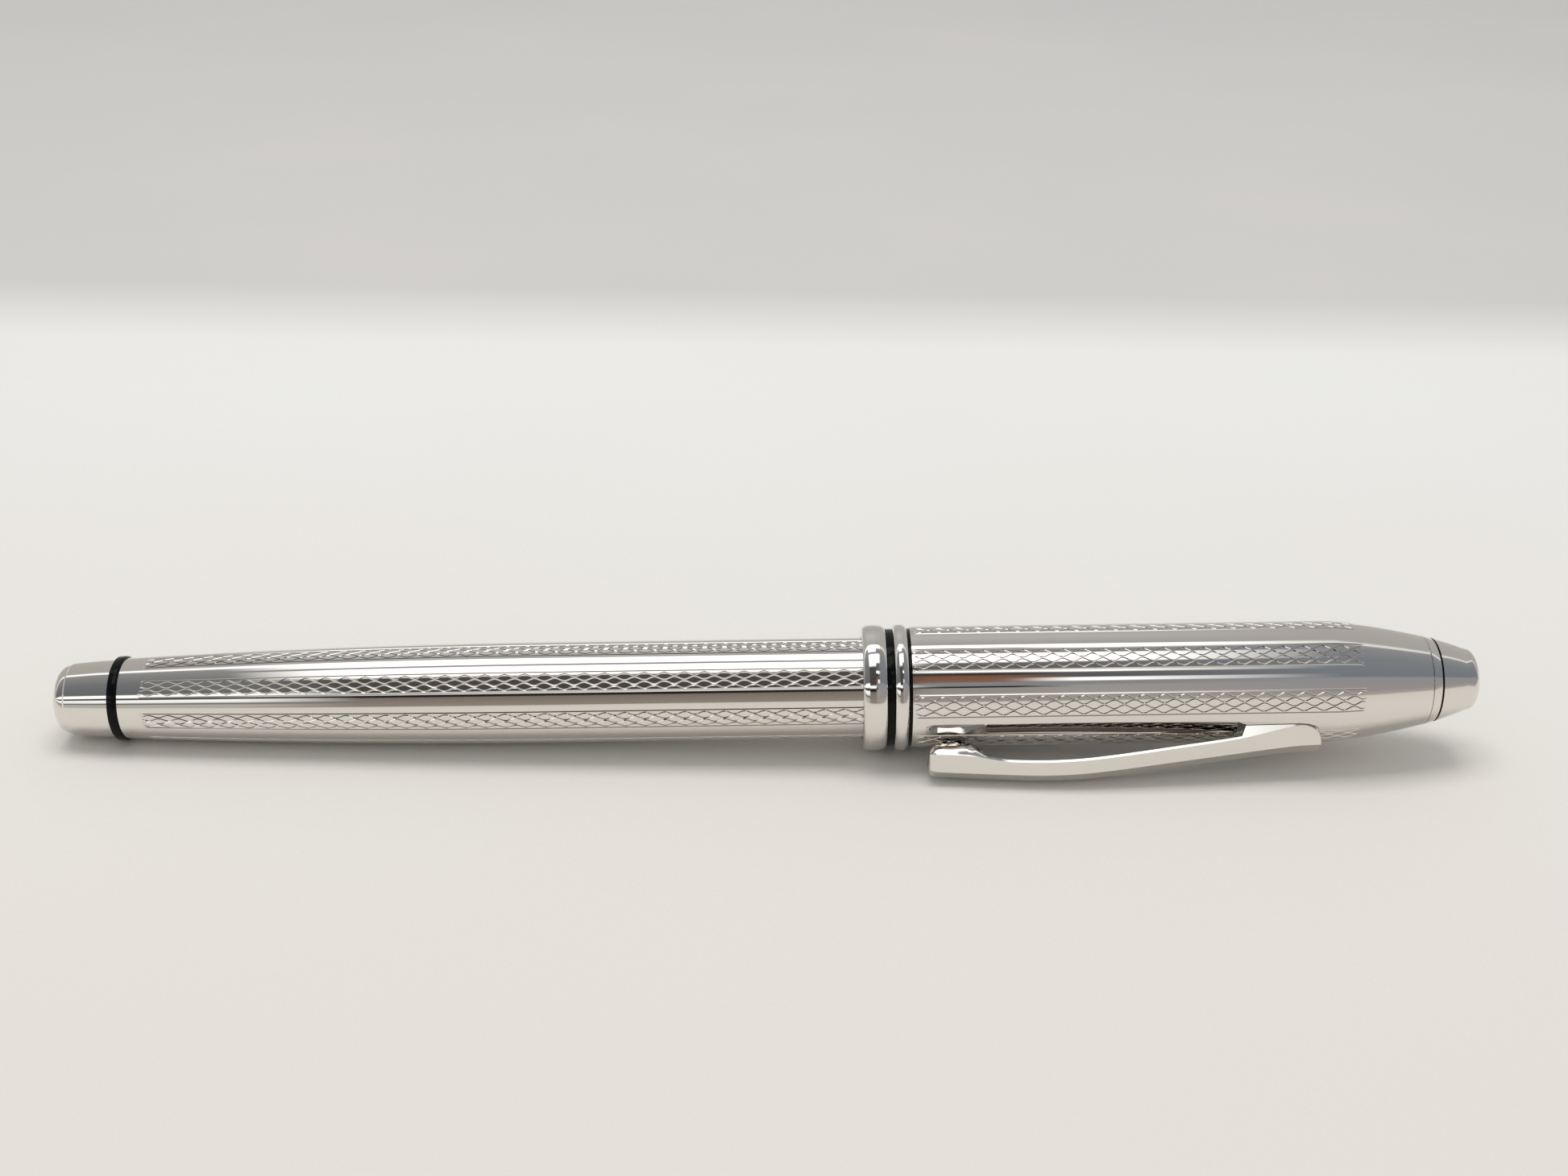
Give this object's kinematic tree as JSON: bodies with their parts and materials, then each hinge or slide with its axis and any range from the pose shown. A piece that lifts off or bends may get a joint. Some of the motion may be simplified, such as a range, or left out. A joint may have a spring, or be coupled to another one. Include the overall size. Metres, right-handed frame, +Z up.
{
  "type": "capped rollerball pen",
  "caption": "Capped rollerball pen in bright engraved metal with a sprung pocket clip, convex rings at the cap's mouth and a black-ringed plain tail.",
  "frame": {"origin": "centre of the flat end face of the tail cap, on the pen's axis", "axes": "+X along the pen's axis from the tail to the finial, +Z up as the pen lies; the clip points to -Y and 35 degrees down"},
  "size_m": [0.149, 0.0158, 0.0138],
  "materials": {
    "bright_plate": "polished, with engraved bands",
    "black_lacquer": "gloss",
    "brass_core": "turned",
    "steel": "drawn",
    "black_plastic": "satin",
    "liner_plastic": "moulded",
    "seal_rubber": "matt",
    "refill_plastic": "extruded",
    "plug_plastic": "moulded"
  },
  "bodies": {
    "barrel": {"barrel_shell": "bright_plate", "barrel_bush": "brass_core", "tail_ring": "black_lacquer", "tail_cap": "bright_plate", "tail_stud": "brass_core", "spring_seat": "brass_core", "refill_spring": "steel"},
    "refill": {"refill_tube": "refill_plastic", "refill_plug": "plug_plastic", "refill_tip": "steel", "tip_ball": "steel"},
    "trim": {"trim_ring": "bright_plate"},
    "seal": {"o_ring": "seal_rubber"},
    "section": {"grip_section": "black_plastic", "nose_cone": "bright_plate", "section_coupling": "brass_core"},
    "snap": {"snap_ring": "steel"},
    "cap": {"cap_shell": "bright_plate", "cap_mouth_sleeve": "brass_core", "cap_liner": "liner_plastic", "cap_lip_ring": "bright_plate", "cap_band": "black_lacquer", "cap_upper_ring": "bright_plate", "cap_gasket": "black_lacquer", "clip_anchor": "steel", "finial_collar": "bright_plate", "finial_washer": "black_lacquer", "finial": "bright_plate", "finial_stud": "brass_core", "finial_nut": "brass_core"},
    "clip": {"clip": "bright_plate"}
  },
  "joints": [
    {"name": "refill_draw", "type": "slide", "parent": "barrel", "child": "refill", "axis": [1, 0, 0], "range_m": [0, 0.0725]},
    {"name": "section_draw", "type": "slide", "parent": "barrel", "child": "trim", "axis": [1, 0, 0], "range_m": [0, 0.125]},
    {"name": "thread_travel", "type": "slide", "parent": "trim", "child": "seal", "axis": [1, 0, 0], "range_m": [0, 0.0048]},
    {"name": "section_turn", "type": "hinge", "parent": "seal", "child": "section", "pos_m": [0.1, 0, 0], "axis": [1, 0, 0], "range_deg": [0, 2160]},
    {"name": "cap_turn", "type": "hinge", "parent": "section", "child": "snap", "pos_m": [0.097, 0, 0], "axis": [1, 0, 0], "continuous": true},
    {"name": "cap_pull", "type": "slide", "parent": "snap", "child": "cap", "axis": [1, 0, 0], "range_m": [0, 0.06]},
    {"name": "clip_flex", "type": "hinge", "parent": "cap", "child": "clip", "pos_m": [0.1318, -0.00527, -0.00369], "axis": [0, -0.5736, 0.8192], "range_deg": [0, 4], "stiffness_Nm_per_rad": 0.25}
  ],
  "couplings": [
    {"joint": "refill_draw", "follows": "section_draw", "ratio": 0.58},
    {"joint": "section_turn", "follows": "thread_travel", "rad_per_m": 7854}
  ]
}
